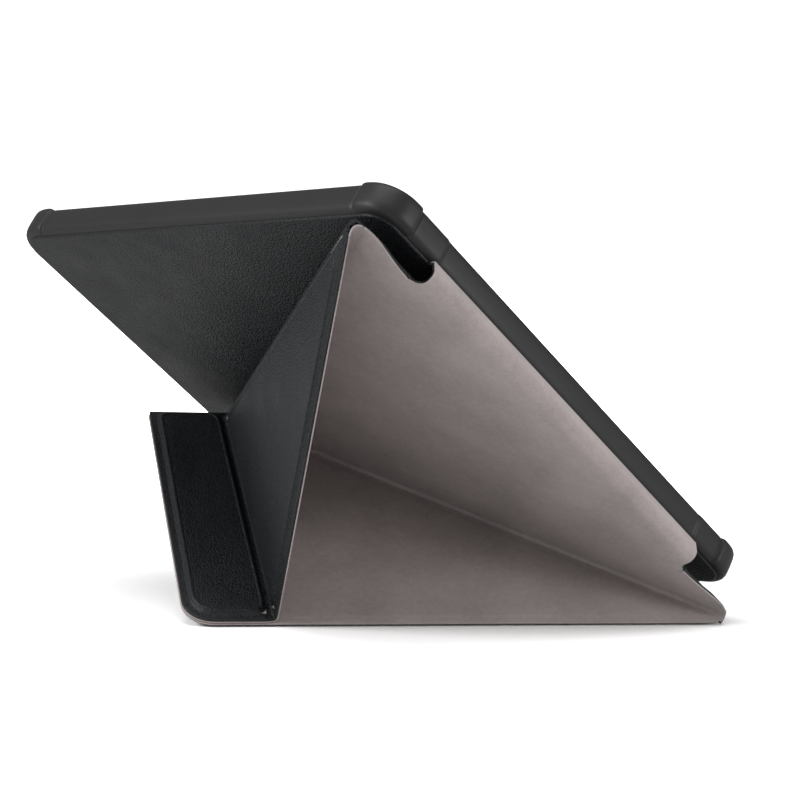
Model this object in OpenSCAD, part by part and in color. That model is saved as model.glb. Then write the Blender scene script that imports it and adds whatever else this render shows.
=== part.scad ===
// Folding stand case for a ten-inch tablet.
// A soft moulded tray grips the tablet, and a four-panel cover hangs from it on
// a soft spine. The cover is drawn folded into its upright stand.

/* [Cover] */

// Width of the flat cover, from the spine to the free edge
cover_w = 212; // [170:1:260]
// Height of the flat cover, along the spine
cover_h = 250; // [200:1:320]
// Corner radius of the cover
cover_r = 11; // [4:1:20]
// Distance of the fold point from the spine, as a share of the width
fold_point = 0.849; // [0.75:0.001:0.9]
// Distance of the fold's hem end from the spine, as a share of the width
fold_end = 0.837; // [0.75:0.001:0.88]

/* [Cover layers] */

// Thickness of the lining
lining_t = 0.5; // [0.3:0.1:1]
// Thickness of the leather
leather_t = 0.8; // [0.5:0.1:1.4]
// Thickness of the stiffening boards
board_t = 1.3; // [0.8:0.1:2.5]
// Gap from the fold surface to the lining
fold_gap = 0.2; // [0.1:0.05:0.5]
// Width of the flat hem round the boards
hem_w = 2.6; // [1.5:0.1:5]
// Half width of the flat band on a fold towards the lining
band_in = 2.1; // [1:0.1:4]
// Half width of the flat band on a fold towards the leather
band_out = 3.4; // [3:0.1:6]

/* [Spine] */

// Width of the spine strip between its two hinge lines, measured flat
spine_w = 13; // [9:0.5:20]
// How far the soft strip bends along its middle when the stand is folded
spine_bow = 60; // [10:1:80]
// Length of the spine strip
spine_l = 172; // [100:1:230]
// Radius of the notches at the ends of the strip
notch_r = 4; // [2:0.5:6]

/* [Tray] */

// Width of the tray over its corner bumpers
tray_w = 199.6; // [150:0.2:250]
// Height of the tray over its corner bumpers, along the spine
tray_h = 234; // [180:0.2:310]
// Depth of the tray from its back to the front of its lip
tray_d = 11.2; // [9:0.1:20]
// Corner radius of the tray wall
tray_r = 12; // [6:0.5:20]
// Thickness of the tray wall
wall_t = 2.2; // [1.6:0.1:4]
// Thickness of the tray floor
floor_t = 2.2; // [1.8:0.1:4]
// How far the lip reaches over the tablet
lip_w = 1.6; // [0.8:0.1:4]
// How thick the lip is
lip_t = 2.2; // [1.2:0.1:4]
// How far the corner bumpers stand out
bumper_t = 0.8; // [0.4:0.1:2]
// How far each bumper runs from the corner
bumper_l = 15; // [13:0.5:40]
// How deep the wall is set back along the spine
recess_t = 0.6; // [0.2:0.1:1.2]
// How far the set-back wall starts from each end
recess_end = 32; // [20:1:60]

/* [Ports] */

// Length of the notch for the button and the socket
port_l = 44; // [12:1:80]
// Distance of the notch's middle from the tray's upper end
port_pos = 116; // [40:1:180]

/* [Back panel] */

// Thickness of the leather on the back of the tray
back_leather_t = 0.8; // [0.5:0.1:1.4]
// Thickness of the board under it
back_board_t = 1; // [0.6:0.1:1.4]
// Width of the tray's rim that shows round the board
back_rim = 9; // [6:0.5:20]

/* [Magnets] */

// Length of a magnet
magnet_l = 16; // [8:1:30]
// Width of a magnet
magnet_w = 6; // [4:0.5:10]
// Thickness of a magnet
magnet_t = 0.9; // [0.5:0.1:1.2]

/* [Quality] */

// Facets on a full circle
facets = 64; // [24:8:128]

/* [Hidden] */

$fn = facets;

// Colours
col_tray = [0.22, 0.22, 0.23];
col_leather = [0.10, 0.10, 0.11];
col_lining = [0.60, 0.55, 0.52];
col_board = [0.45, 0.42, 0.38];
col_metal = [0.70, 0.71, 0.73];

// Flat pattern. x runs along the spine, y away from it, z from the lining to
// the leather; z = 0 is the surface that the panels fold about.
half = cover_h / 2;
pT = [0, 0];                        // upper end of the spine
pK = [cover_h, 0];                  // lower end of the spine
pN = [half, fold_point * cover_w];  // where the folds meet
pE = [0, fold_end * cover_w];       // fold's end on the upper hem
pL = [half, cover_w];               // fold's end on the free edge
pF = [0, cover_w];                  // upper free corner
pG = [cover_h, cover_w];            // lower free corner

// Layer heights
z_lin = fold_gap;
z_lea = z_lin + lining_t;
z_flat = z_lea + leather_t;
z_top = z_lea + board_t + leather_t;
z_mid = z_lea + board_t + leather_t - 0.5;
clear = 0.3;
free_in = clear;               // free side of a fold towards the lining
edge_lin = 0.2;                // kept side of a fold towards the leather
edge_lea = z_lea + clear;
free_lin = z_lea + clear;      // free side of a fold towards the leather
free_lea = z_flat + clear + 0.1;

function unit(a) = a / norm(a);
function cut_ang(a, b) = acos(max(-1, min(1, a * b)));

// Folded stand. Its own frame has the base panel in z = 0, with the lower
// spine corner at the origin and the hem along -x.
aE = [-fold_end * cover_w, 0, 0];
aN = [-fold_point * cover_w, half, 0];
fold_ax = unit(aN - aE);
foot = aE + fold_ax * ((-aE) * fold_ax);
arm = norm(foot);
prop_ang = 2 * asin(cover_h / (2 * arm));
apex = foot + arm * (cos(prop_ang) * unit(-foot) + sin(prop_ang) * [0, 0, 1]);

rear_x = unit(-apex);
rear_n0 = aN - rear_x * (aN * rear_x);
rear_y = unit(rear_n0);
rear_z = cross(rear_x, rear_y);

prop_y = unit(aE - apex);
prop_n0 = (aN - apex) - prop_y * ((aN - apex) * prop_y);
prop_x = unit(prop_n0);
prop_z = cross(prop_x, prop_y);

// Tray, hung from the rear panel by the spine strip and leaning on the fold point
hinge_y = -0.3;
hinge_z = z_lea;
wall_h = tray_h - 2 * bumper_t;
wall_w = tray_w - 2 * bumper_t;
back_z = -back_leather_t;
// The strip's halves lean out and back in, so that it bulges past the wall
half_w = spine_w / 2;
spine_drop = spine_w * cos(spine_bow / 2);
lean = asin((back_z - (hinge_z - spine_drop) - (z_top + clear)) / (fold_point * cover_w));
tray_y = [0, cos(lean), -sin(lean)];
tray_z = [0, sin(lean), cos(lean)];
tray_o = [half - wall_h / 2, 0, 0] - hinge_y * tray_y - (hinge_z - spine_drop) * tray_z;

// Ground, through the hem and the lowest corner of the tray
function rear_to_fold(p) = apex + p[0] * rear_x + p[1] * rear_y + p[2] * rear_z;
low_ang = 10;
low_u = wall_h - tray_r + (tray_r - 0.1) * cos(low_ang);
low_v = wall_w - tray_r + (tray_r - 0.1) * sin(low_ang);
low = rear_to_fold(tray_o + [low_u, 0, 0] + low_v * tray_y + 0.52 * tray_z);
tilt = atan2(-(low[2] + z_flat), low[1]);
ground = z_flat * cos(tilt);

// Middle of the stand's footprint
mid_x = -0.6257 * cover_w;
mid_y = 0.1819 * cover_w;

spine_s = half - spine_l / 2;
spine_e = half + spine_l / 2;

// ---- Placement ----

module frame(o, x, y, z) {
    multmatrix([[x[0], y[0], z[0], o[0]],
                [x[1], y[1], z[1], o[1]],
                [x[2], y[2], z[2], o[2]],
                [0, 0, 0, 1]]) children();
}

module stand() {
    translate([-mid_x, -mid_y, ground]) rotate([tilt, 0, 0]) children();
}

module at_rear() { stand() frame(apex, rear_x, rear_y, rear_z) children(); }
module at_base() { stand() frame([0, cover_h, 0], [0, -1, 0], [-1, 0, 0], [0, 0, -1]) children(); }
module at_flap() { stand() frame([0, 0, 0], [0, 1, 0], [-1, 0, 0], [0, 0, 1]) children(); }
module at_prop() { stand() frame(apex, prop_x, prop_y, prop_z) children(); }
module at_tray() { at_rear() frame(tray_o, [1, 0, 0], tray_y, tray_z) children(); }
// The strip's half next to the tray, with y from the tray's hinge line
module at_spine_back() {
    at_tray() translate([wall_h / 2 - half, hinge_y, hinge_z])
        rotate([-90 - spine_bow / 2, 0, 0]) children();
}
// The half next to the cover, with y from the strip's middle
module at_spine_front() {
    at_tray() translate([wall_h / 2 - half, hinge_y - half_w * sin(spine_bow / 2), hinge_z - half_w * cos(spine_bow / 2)])
        rotate([-90 + spine_bow / 2, 0, 0]) children();
}

// ---- Flat shapes ----

// Everything to the left of the line from p to q, moved in by d
module left_of(p, q, d) {
    translate(p) rotate(atan2(q[1] - p[1], q[0] - p[0])) translate([-600, d]) square([1200, 600]);
}

module round_rect(x0, y0, x1, y1, r) {
    translate([x0 + r, y0]) square([x1 - x0 - 2 * r, y1 - y0]);
    translate([x0, y0 + r]) square([x1 - x0, y1 - y0 - 2 * r]);
    for (x = [x0 + r, x1 - r]) for (y = [y0 + r, y1 - r]) translate([x, y]) circle(r);
}

// The cover's outline, moved in by d at the hem and s at the spine
module outline(d, s) {
    round_rect(d, s, cover_h - d, cover_w - d, cover_r - d * 0.7);
}

// One corner rounded off a bar's section
module nip(x, y, sx, sy, r) {
    translate([x, y]) difference() {
        translate([min(0, sx * r) - (sx < 0 ? 0.01 : 0) , min(0, sy * r)]) square([r + 0.01, r]);
        translate([sx * r, sy * r]) circle(r);
    }
}

// ---- Panels, each as edge lists: first point, second point, set-back ----

// a: lining fold, kept side; b: lining fold, free side
module rear_edges(a) { intersection() { left_of(pK, pN, a); left_of(pN, pT, a); } }
module base_edges(b, l) { intersection() { left_of(pL, pN, l); left_of(pN, pK, b); } }
module flap_edges(b, l) { intersection() { left_of(pE, pN, b); left_of(pN, pL, l); } }
module prop_edges(b, l) { intersection() { left_of(pT, pN, b); left_of(pN, pE, l); } }

// Set-backs for each layer
in_lin = 0.15;

module rear_shape(d, s, a) { intersection() { outline(d, s); rear_edges(a); } }
module base_shape(d, b, l) { intersection() { outline(d, d); base_edges(b, l); } }
module flap_shape(d, b, l) { intersection() { outline(d, d); flap_edges(b, l); } }
module prop_shape(d, b, l) { intersection() { outline(d, d); prop_edges(b, l); } }

module slab(z0, z1) { translate([0, 0, z0]) linear_extrude(z1 - z0) children(); }

board_in = 0.7;   // the board's edge inside the leather's ridge

// Notch that frees the strip's end from the spine hem
module strip_notches(ext) {
    for (x = [spine_s - notch_r - 0.5, spine_e + notch_r + 0.5])
        translate([x, 0]) circle(notch_r + ext);
}

// ---- Sub-parts: tray ----

// Wall section: x = 0 at the inner wall face, outwards +x
module wall_section(out, top, set) {
    difference() {
        union() {
            square([wall_t + out - set, top]);
            translate([-lip_w, tray_d - lip_t]) square([lip_w + 1, top - tray_d + lip_t]);
        }
        nip(wall_t + out - set, 0, -1, 1, 2.4);
        nip(wall_t + out - set, top, -1, -1, 1.5);
        nip(-lip_w, top, 1, -1, 0.9);
    }
}

module wall_run(l, out, top, set) {
    rotate([90, 0, 90]) linear_extrude(l) mirror([1, 0]) wall_section(out, top, set);
}

module wall_corner(out, top) {
    rotate_extrude(angle = 90) translate([tray_r - wall_t, 0]) wall_section(out, top, 0);
}

// A run along the wall at y = 0, from x = a to x = b
module run_low(a, b, out, top, set) { translate([a, wall_t, 0]) wall_run(b - a, out, top, set); }
module run_high(a, b, out, top, set) { translate([0, wall_w, 0]) mirror([0, 1, 0]) run_low(a, b, out, top, set); }
module run_left(a, b, out, top, set) { mirror([1, -1, 0]) run_low(a, b, out, top, set); }
module run_right(a, b, out, top, set) { translate([wall_h, 0, 0]) mirror([1, 0, 0]) run_left(a, b, out, top, set); }

module tray_shell() {
    top_b = tray_d + 0.4;
    color(col_tray) at_tray() difference() {
        union() {
            // Floor, with the walls standing round it
            slab(0, floor_t) round_rect(wall_t - 0.5, wall_t - 0.5, wall_h - wall_t + 0.5, wall_w - wall_t + 0.5, tray_r - wall_t + 0.5);
            run_low(bumper_l, recess_end, 0, tray_d, 0);
            run_low(recess_end, wall_h - recess_end, 0, tray_d, recess_t);
            run_low(wall_h - recess_end, wall_h - bumper_l, 0, tray_d, 0);
            run_high(bumper_l, wall_h - bumper_l, 0, tray_d, 0);
            run_left(bumper_l, wall_w - bumper_l, 0, tray_d, 0);
            run_right(bumper_l, wall_w - bumper_l, 0, tray_d, 0);
            // Corner bumpers
            for (mx = [0, 1]) for (my = [0, 1])
                translate([mx * wall_h, my * wall_w, 0]) mirror([mx, 0, 0]) mirror([0, my, 0]) {
                    translate([tray_r, tray_r, 0]) rotate([0, 0, 180]) wall_corner(bumper_t, top_b);
                    run_low(tray_r, bumper_l, bumper_t, top_b, 0);
                    run_left(tray_r, bumper_l, bumper_t, top_b, 0);
                }
        }
        // Pocket for the back board
        slab(-1, back_board_t) round_rect(back_rim, back_rim, wall_h - back_rim, wall_w - back_rim, 5);
        // Notch for the button and the socket
        translate([port_pos - port_l / 2, wall_w - wall_t - lip_w - 1, floor_t + 1.2])
            cube([port_l, wall_t + lip_w + 4, tray_d]);
    }
}

module back_board() {
    color(col_board) at_tray() slab(0, back_board_t)
        round_rect(back_rim + 0.1, back_rim + 0.1, wall_h - back_rim - 0.1, wall_w - back_rim - 0.1, 4.9);
}

module back_leather() {
    color(col_leather) at_tray() slab(back_z, 0) union() {
        round_rect(2.4, 2.4, wall_h - 2.4, wall_w - 2.4, tray_r - 2.4);
        // Tongue that runs out to the spine strip
        translate([wall_h / 2 - spine_l / 2, hinge_y + z_lea + clear]) square([spine_l, 4]);
    }
}

// ---- Sub-parts: spine ----

// Half of the strip's leather, from y = a to y = b
module strip(a, b, z0, z1) { slab(z0, z1) translate([spine_s, a]) square([spine_l, b - a]); }

// Set-backs at the strip's own bend
mid_lea = z_flat * tan(spine_bow / 2) + clear / 2;
mid_lin = z_lea * tan(spine_bow / 2) + clear / 2;

module spine_back_leather() { color(col_leather) at_spine_back() strip(free_lea, half_w - mid_lea, z_lea, z_flat); }
module spine_back_lining() { color(col_lining) at_spine_back() strip(free_lin, half_w - mid_lin, z_lin, z_lea); }
module spine_front_leather() { color(col_leather) at_spine_front() strip(mid_lea, half_w - free_lea, z_lea, z_flat); }
module spine_front_lining() { color(col_lining) at_spine_front() strip(mid_lin, half_w - free_lin, z_lin, z_lea); }

// ---- Sub-parts: cover panels ----

module panel_board_rear() { rear_shape(hem_w + board_in, hem_w + board_in + edge_lea, band_in + board_in); }
module panel_board_base() { base_shape(hem_w + board_in, band_in + board_in, band_in + board_in); }
module panel_board_flap() { flap_shape(hem_w + board_in, band_out + board_in, band_in + board_in); }
module panel_board_prop() { prop_shape(hem_w + board_in, band_in + board_in, band_out + board_in); }

module magnet_at(p) {
    translate([p[0] - magnet_l / 2, p[1] - magnet_w / 2, z_lea + (board_t - magnet_t) / 2])
        cube([magnet_l, magnet_w, magnet_t]);
}
magnet_off = half * 0.68;
base_magnet_p = [half + magnet_off, cover_w - 16];
flap_magnet_p = [half - magnet_off, cover_w - 16];
wake_magnet_p = [half + half * 0.26, cover_w - 14];

module rear_panel_board() { color(col_board) at_rear() slab(z_lea, z_lea + board_t) panel_board_rear(); }
module rear_panel_lining() { color(col_lining) at_rear() slab(z_lin, z_lea) difference() { rear_shape(0, edge_lin, in_lin); strip_notches(0); } }
module rear_panel_leather() {
    color(col_leather) at_rear() difference() {
        union() {
            slab(z_lea, z_flat) difference() { rear_shape(0, edge_lea, 0); strip_notches(0); }
            slab(z_lea, z_mid) difference() { rear_shape(hem_w, hem_w + edge_lea, band_in); strip_notches(1); }
            slab(z_lea, z_top) difference() { rear_shape(hem_w + 0.4, hem_w + edge_lea + 0.4, band_in + 0.4); strip_notches(1.4); }
        }
        slab(z_lea - 1, z_lea + board_t) panel_board_rear();
    }
}

module base_panel_board() {
    color(col_board) at_base() difference() {
        slab(z_lea, z_lea + board_t) panel_board_base();
        magnet_at(base_magnet_p);
        magnet_at(wake_magnet_p);
    }
}
module base_panel_lining() { color(col_lining) at_base() slab(z_lin, z_lea) base_shape(0, in_lin + free_in, in_lin); }
module base_panel_leather() {
    color(col_leather) at_base() difference() {
        union() {
            slab(z_lea, z_flat) base_shape(0, free_in, 0);
            slab(z_lea, z_mid) base_shape(hem_w, band_in, band_in);
            slab(z_lea, z_top) base_shape(hem_w + 0.4, band_in + 0.4, band_in + 0.4);
        }
        slab(z_lea - 1, z_lea + board_t) panel_board_base();
    }
}

module prop_panel_board() { color(col_board) at_prop() slab(z_lea, z_lea + board_t) panel_board_prop(); }
module prop_panel_lining() { color(col_lining) at_prop() slab(z_lin, z_lea) prop_shape(0, in_lin + free_in, edge_lin); }
module prop_panel_leather() {
    color(col_leather) at_prop() difference() {
        union() {
            slab(z_lea, z_flat) prop_shape(0, free_in, edge_lea);
            slab(z_lea, z_mid) prop_shape(hem_w, band_in, band_out);
            slab(z_lea, z_top) prop_shape(hem_w + 0.4, band_in + 0.4, band_out + 0.4);
        }
        slab(z_lea - 1, z_lea + board_t) panel_board_prop();
    }
}

module flap_panel_board() {
    color(col_board) at_flap() difference() {
        slab(z_lea, z_lea + board_t) panel_board_flap();
        magnet_at(flap_magnet_p);
    }
}
module flap_panel_lining() { color(col_lining) at_flap() slab(z_lin, z_lea) flap_shape(0, free_lin, in_lin + free_in); }
module flap_panel_leather() {
    color(col_leather) at_flap() difference() {
        union() {
            slab(z_lea, z_flat) flap_shape(0, free_lea, free_in);
            slab(z_lea, z_mid) flap_shape(hem_w, band_out, band_in);
            slab(z_lea, z_top) flap_shape(hem_w + 0.4, band_out + 0.4, band_in + 0.4);
        }
        slab(z_lea - 1, z_lea + board_t) panel_board_flap();
    }
}

module base_magnet() { color(col_metal) at_base() magnet_at(base_magnet_p); }
module flap_magnet() { color(col_metal) at_flap() magnet_at(flap_magnet_p); }
module wake_magnet() { color(col_metal) at_base() magnet_at(wake_magnet_p); }

// ---- Sub-parts: bent leather along the folds towards the lining ----

// A bend about the line from p to q, on the left side's layer, turning by ang
module bend(p, q, ang, s, e) {
    l = norm([q[0] - p[0], q[1] - p[1]]);
    translate([p[0], p[1], 0]) rotate([0, 0, atan2(q[1] - p[1], q[0] - p[0])])
        translate([s, 0, 0]) rotate([90, 0, 90]) linear_extrude(l - s - e)
            rotate(90) difference() {
                pie(z_flat, ang);
                circle(z_lea);
            }
}

// Sector of a circle from 0 to a degrees
module pie(r, a) {
    difference() {
        circle(r);
        rotate(0) translate([-2 * r, -4 * r]) square([4 * r, 4 * r] * (a <= 180 ? 1 : 0.0001));
        if (a < 180) rotate(a) translate([-2 * r, 0]) square([4 * r, 4 * r]);
    }
}

fold_lower = cut_ang(rear_z, [0, 0, -1]);
fold_upper = cut_ang(rear_z, prop_z);

module lower_crease() { color(col_leather) at_rear() bend(pK, pN, fold_lower, 5, 8); }
module upper_crease() { color(col_leather) at_rear() bend(pN, pT, fold_upper, 8, 5); }
module flap_crease() { color(col_leather) at_base() bend(pL, pN, 180, 1, 8); }

// ---- Drawing ----

tray_shell();
back_board();
back_leather();
spine_back_leather();
spine_back_lining();
spine_front_leather();
spine_front_lining();
rear_panel_board();
rear_panel_leather();
rear_panel_lining();
base_panel_board();
base_panel_leather();
base_panel_lining();
prop_panel_board();
prop_panel_leather();
prop_panel_lining();
flap_panel_board();
flap_panel_leather();
flap_panel_lining();
lower_crease();
upper_crease();
flap_crease();
base_magnet();
flap_magnet();
wake_magnet();
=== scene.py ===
"""Folding tablet case, standing on its hem with the tray hung behind the cover."""
import math

import bmesh
import bpy
import numpy as np
from mathutils import Matrix, Vector
from mathutils.geometry import delaunay_2d_cdt


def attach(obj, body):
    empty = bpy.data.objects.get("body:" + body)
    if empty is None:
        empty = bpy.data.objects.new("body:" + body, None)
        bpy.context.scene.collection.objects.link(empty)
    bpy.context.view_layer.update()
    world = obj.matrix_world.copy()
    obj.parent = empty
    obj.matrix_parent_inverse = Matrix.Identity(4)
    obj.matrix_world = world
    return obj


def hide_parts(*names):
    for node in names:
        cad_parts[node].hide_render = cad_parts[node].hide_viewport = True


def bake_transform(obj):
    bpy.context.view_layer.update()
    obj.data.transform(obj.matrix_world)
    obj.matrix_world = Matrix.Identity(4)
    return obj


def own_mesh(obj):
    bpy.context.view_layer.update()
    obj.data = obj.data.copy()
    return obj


bl_info = {
    "name": "Folding tablet case",
    "version": (1, 0, 0),
    "blender": (4, 5, 0),
    "location": "View3D > Sidebar > Tablet case",
    "description": "Builds the tray, the folding cover, its soft spine and the stage",
    "category": "Object",
}

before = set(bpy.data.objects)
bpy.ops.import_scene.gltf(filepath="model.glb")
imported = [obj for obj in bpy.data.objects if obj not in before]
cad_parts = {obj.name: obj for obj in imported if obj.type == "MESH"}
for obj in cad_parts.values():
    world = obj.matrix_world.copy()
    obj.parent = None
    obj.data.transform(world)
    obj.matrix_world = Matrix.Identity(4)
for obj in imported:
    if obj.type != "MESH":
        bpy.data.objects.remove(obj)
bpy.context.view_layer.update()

# ---- The case's own sizes, in millimetres, as the frame was drawn ----

COVER_W, COVER_H, COVER_R = 212.0, 250.0, 11.0
HALF = COVER_H / 2
FOLD_POINT, FOLD_END = 0.849 * COVER_W, 0.837 * COVER_W
SPINE_W, SPINE_BOW, SPINE_L, NOTCH_R = 13.0, 60.0, 172.0, 4.0
Z_LIN, Z_LEA, Z_FLAT, Z_TOP = 0.2, 0.7, 1.5, 2.8
TRAY_L, TRAY_W, TRAY_R = 232.4, 198.0, 12.0
HINGE_Y, HINGE_Z = -0.3, 0.7
SPINE_S, SPINE_E = HALF - SPINE_L / 2, HALF + SPINE_L / 2

# Flat pattern: x along the spine, y away from it
P_T, P_K, P_N = (0, 0), (COVER_H, 0), (HALF, FOLD_POINT)
P_E, P_L = (0, FOLD_END), (HALF, COVER_W)

# Half width of the bend at the lower and upper folds, the flap's fold, and the open fold of base and flap
FOLD_BAND, FLAP_BAND, TOP_BAND = 3.0, 3.6, 0.4
# How far a bend's sheet laps the panels beside it
BEND_LAP = 0.02
# How far a bend's sheet stops short of a cover corner, and of the point where the folds meet
CORNER_TRIM, POINT_TRIM = 4.66, 2.2
# How much wider the lining bends than the leather, at the fold below the apex
APEX_EXTRA = 1.5
# How far the spine strip runs onto the rear panel, and how far it then laps into it
SPINE_BAND, LAP = 9.0, 2.5
# The port notch: its middle along the wall, and half its length
PORT_MID, PORT_HALF = 116.0, 22.0
# How far from its ends the spine's wall is set back
SET_BACK_FROM = 32.0
# Millimetres in a metre
MM = 1000


def unit(a):
    """A vector's direction."""
    a = np.array(a, float)
    return a / np.linalg.norm(a)


def columns(o, x, y, z):
    """A placement from its origin and three axes."""
    m = np.eye(4)
    m[:3, 0], m[:3, 1], m[:3, 2], m[:3, 3] = x, y, z, o
    return m


def turned_x(angle):
    """A turn about x, in degrees."""
    c, s = math.cos(math.radians(angle)), math.sin(math.radians(angle))
    return np.array([[1, 0, 0, 0], [0, c, -s, 0], [0, s, c, 0], [0, 0, 0, 1.0]])


def moved(x, y, z):
    """A shift."""
    return columns((x, y, z), (1, 0, 0), (0, 1, 0), (0, 0, 1))


def placements():
    """Each body's placement in the row frame, folded into the stand."""
    end, point = np.array([-FOLD_END, 0, 0]), np.array([-FOLD_POINT, HALF, 0])
    axis = unit(point - end)
    foot = end + axis * np.dot(-end, axis)
    arm = np.linalg.norm(foot)
    swing = 2 * math.asin(COVER_H / (2 * arm))
    apex = foot + arm * (math.cos(swing) * unit(-foot) + math.sin(swing) * np.array([0, 0, 1]))
    rx = unit(-apex)
    ry = unit(point - rx * np.dot(point, rx))
    rear = columns(apex, rx, ry, np.cross(rx, ry))
    base = columns((0, COVER_H, 0), (0, -1, 0), (-1, 0, 0), (0, 0, -1))
    flap = columns((0, 0, 0), (0, 1, 0), (-1, 0, 0), (0, 0, 1))
    py = unit(end - apex)
    px = unit((point - apex) - py * np.dot(point - apex, py))
    prop = columns(apex, px, py, np.cross(px, py))
    drop = SPINE_W * math.cos(math.radians(SPINE_BOW / 2))
    lean = math.asin((-0.8 - (HINGE_Z - drop) - (Z_TOP + 0.3)) / FOLD_POINT)
    ty = np.array([0, math.cos(lean), -math.sin(lean)])
    tz = np.array([0, math.sin(lean), math.cos(lean)])
    origin = np.array([HALF - TRAY_L / 2, 0, 0]) - HINGE_Y * ty - (HINGE_Z - drop) * tz
    tray = rear @ columns(origin, (1, 0, 0), ty, tz)
    half_bow = math.radians(SPINE_BOW / 2)
    back = tray @ moved(TRAY_L / 2 - HALF, HINGE_Y, HINGE_Z) @ turned_x(-90 - SPINE_BOW / 2)
    front = (
        tray
        @ moved(
            TRAY_L / 2 - HALF,
            HINGE_Y - SPINE_W / 2 * math.sin(half_bow),
            HINGE_Z - SPINE_W / 2 * math.cos(half_bow),
        )
        @ turned_x(-90 + SPINE_BOW / 2)
    )
    a = math.radians(10)
    lu, lv = TRAY_L - 12 + 11.9 * math.cos(a), TRAY_W - 12 + 11.9 * math.sin(a)
    low = (tray @ np.array([lu, lv, 0.52, 1]))[:3]
    tilt = math.degrees(math.atan2(-(low[2] + Z_FLAT), low[1]))
    ground = Z_FLAT * math.cos(math.radians(tilt))
    stand = moved(0.6257 * COVER_W, -0.1819 * COVER_W, ground) @ turned_x(tilt)
    parts = {"tray": tray, "spine_back": back, "spine_front": front, "rear": rear,
             "base": base, "prop": prop, "flap": flap}
    return {k: stand @ v for k, v in parts.items()}


PLACE = placements()


def at(body, p):
    """A point of a body's own frame, in the row frame, in millimetres."""
    return (PLACE[body] @ np.array([p[0], p[1], p[2], 1.0]))[:3]


def metres(p):
    """A point in metres."""
    return tuple(float(v) / MM for v in p)


# ---- Settings ----


class CaseCoverSettings(bpy.types.PropertyGroup):
    """Sizes of the cover's skins."""

    hem_width: bpy.props.FloatProperty(
        name="Hem width", description="Flat hem round each board", default=0.0026,
        min=0.001, max=0.006, unit="LENGTH")
    ridge_round: bpy.props.FloatProperty(
        name="Ridge rounding", description="How softly the leather climbs over the board's edge",
        default=0.0014, min=0.0003, max=0.003, unit="LENGTH")
    leather_swell: bpy.props.FloatProperty(
        name="Leather swell", description="How far the leather lifts between its edges",
        default=0.00025, min=0.0, max=0.001, unit="LENGTH")
    crease_round: bpy.props.FloatProperty(
        name="Crease rounding", description="Inside radius of the folds", default=0.0009,
        min=0.0003, max=0.003, unit="LENGTH")
    bead_radius: bpy.props.FloatProperty(
        name="Pressed bead", description="Radius of the bead pressed round each panel",
        default=0.001, min=0.0001, max=0.001, unit="LENGTH")


class CaseTraySettings(bpy.types.PropertyGroup):
    """Sizes of the tray."""

    bumper: bpy.props.FloatProperty(
        name="Bumper height", description="How far each corner bumper stands out",
        default=0.0008, min=0.0, max=0.002, unit="LENGTH")
    bumper_length: bpy.props.FloatProperty(
        name="Bumper length", description="How far each bumper runs from its corner",
        default=0.015, min=0.012, max=0.04, unit="LENGTH")
    seam: bpy.props.FloatProperty(
        name="Seam depth", description="Depth of the groove at each bumper's end",
        default=0.00045, min=0.0, max=0.001, unit="LENGTH")
    set_back: bpy.props.FloatProperty(
        name="Spine set-back", description="How far the wall is set back along the spine",
        default=0.0006, min=0.0, max=0.0012, unit="LENGTH")


class CaseFinishSettings(bpy.types.PropertyGroup):
    """Colours of the case's materials."""

    leather: bpy.props.FloatVectorProperty(
        name="Leather", description="Colour of the leather", subtype="COLOR", size=3,
        default=(0.0085, 0.0097, 0.0113), min=0, max=1)
    lining: bpy.props.FloatVectorProperty(
        name="Lining", description="Colour of the microfibre lining", subtype="COLOR", size=3,
        default=(0.35, 0.305, 0.300), min=0, max=1)
    tray: bpy.props.FloatVectorProperty(
        name="Tray", description="Colour of the moulded tray", subtype="COLOR", size=3,
        default=(0.017, 0.017, 0.018), min=0, max=1)


class CaseStageSettings(bpy.types.PropertyGroup):
    """The floor and the light."""

    floor_size: bpy.props.FloatProperty(
        name="Floor", description="Width of the floor", default=14.0, min=1, max=40, unit="LENGTH")
    sky: bpy.props.FloatProperty(
        name="Surrounding light", description="Strength of the even light from all round",
        default=0.3, min=0, max=3)
    key: bpy.props.FloatProperty(
        name="Key light", description="Power that every lamp is a multiple of", default=12.0, min=0,
        max=200, unit="POWER")


# ---- Mesh helpers ----


def finish_mesh(name, bm, material, sharp=38):
    """Closes a mesh's doubles, turns its faces out, and links its object."""
    bmesh.ops.remove_doubles(bm, verts=bm.verts, dist=1e-7)
    bmesh.ops.dissolve_degenerate(bm, dist=1e-8, edges=bm.edges)
    bmesh.ops.recalc_face_normals(bm, faces=bm.faces)
    mesh = bpy.data.meshes.new(name)
    bm.to_mesh(mesh)
    bm.free()
    for p in mesh.polygons:
        p.use_smooth = True
    mesh.set_sharp_from_angle(angle=math.radians(sharp))
    mesh.materials.append(material)
    obj = bpy.data.objects.new(name, mesh)
    bpy.context.scene.collection.objects.link(obj)
    return obj


def clip(poly, p, q, d):
    """The part of a convex outline that lies left of the line from p to q, moved in by d."""
    t = unit(np.subtract(q, p))
    n = np.array([-t[1], t[0]])
    side = [float(np.dot(np.subtract(v, p), n)) - d for v in poly]
    out = []
    for i, v in enumerate(poly):
        j = (i + 1) % len(poly)
        if side[i] >= 0:
            out.append(v)
        if (side[i] >= 0) != (side[j] >= 0):
            f = side[i] / (side[i] - side[j])
            out.append(tuple(np.array(v) + f * (np.array(poly[j]) - np.array(v))))
    return out


def round_corners(x0, y0, x1, y1, r, steps=9):
    """A rectangle with rounded corners, anticlockwise."""
    pts = []
    centres = ((x1 - r, y1 - r, 0), (x0 + r, y1 - r, 90), (x0 + r, y0 + r, 180), (x1 - r, y0 + r, 270))
    for cx, cy, a in centres:
        for i in range(steps + 1):
            t = math.radians(a + 90 * i / steps)
            pts.append((cx + r * math.cos(t), cy + r * math.sin(t)))
    return pts


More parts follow.
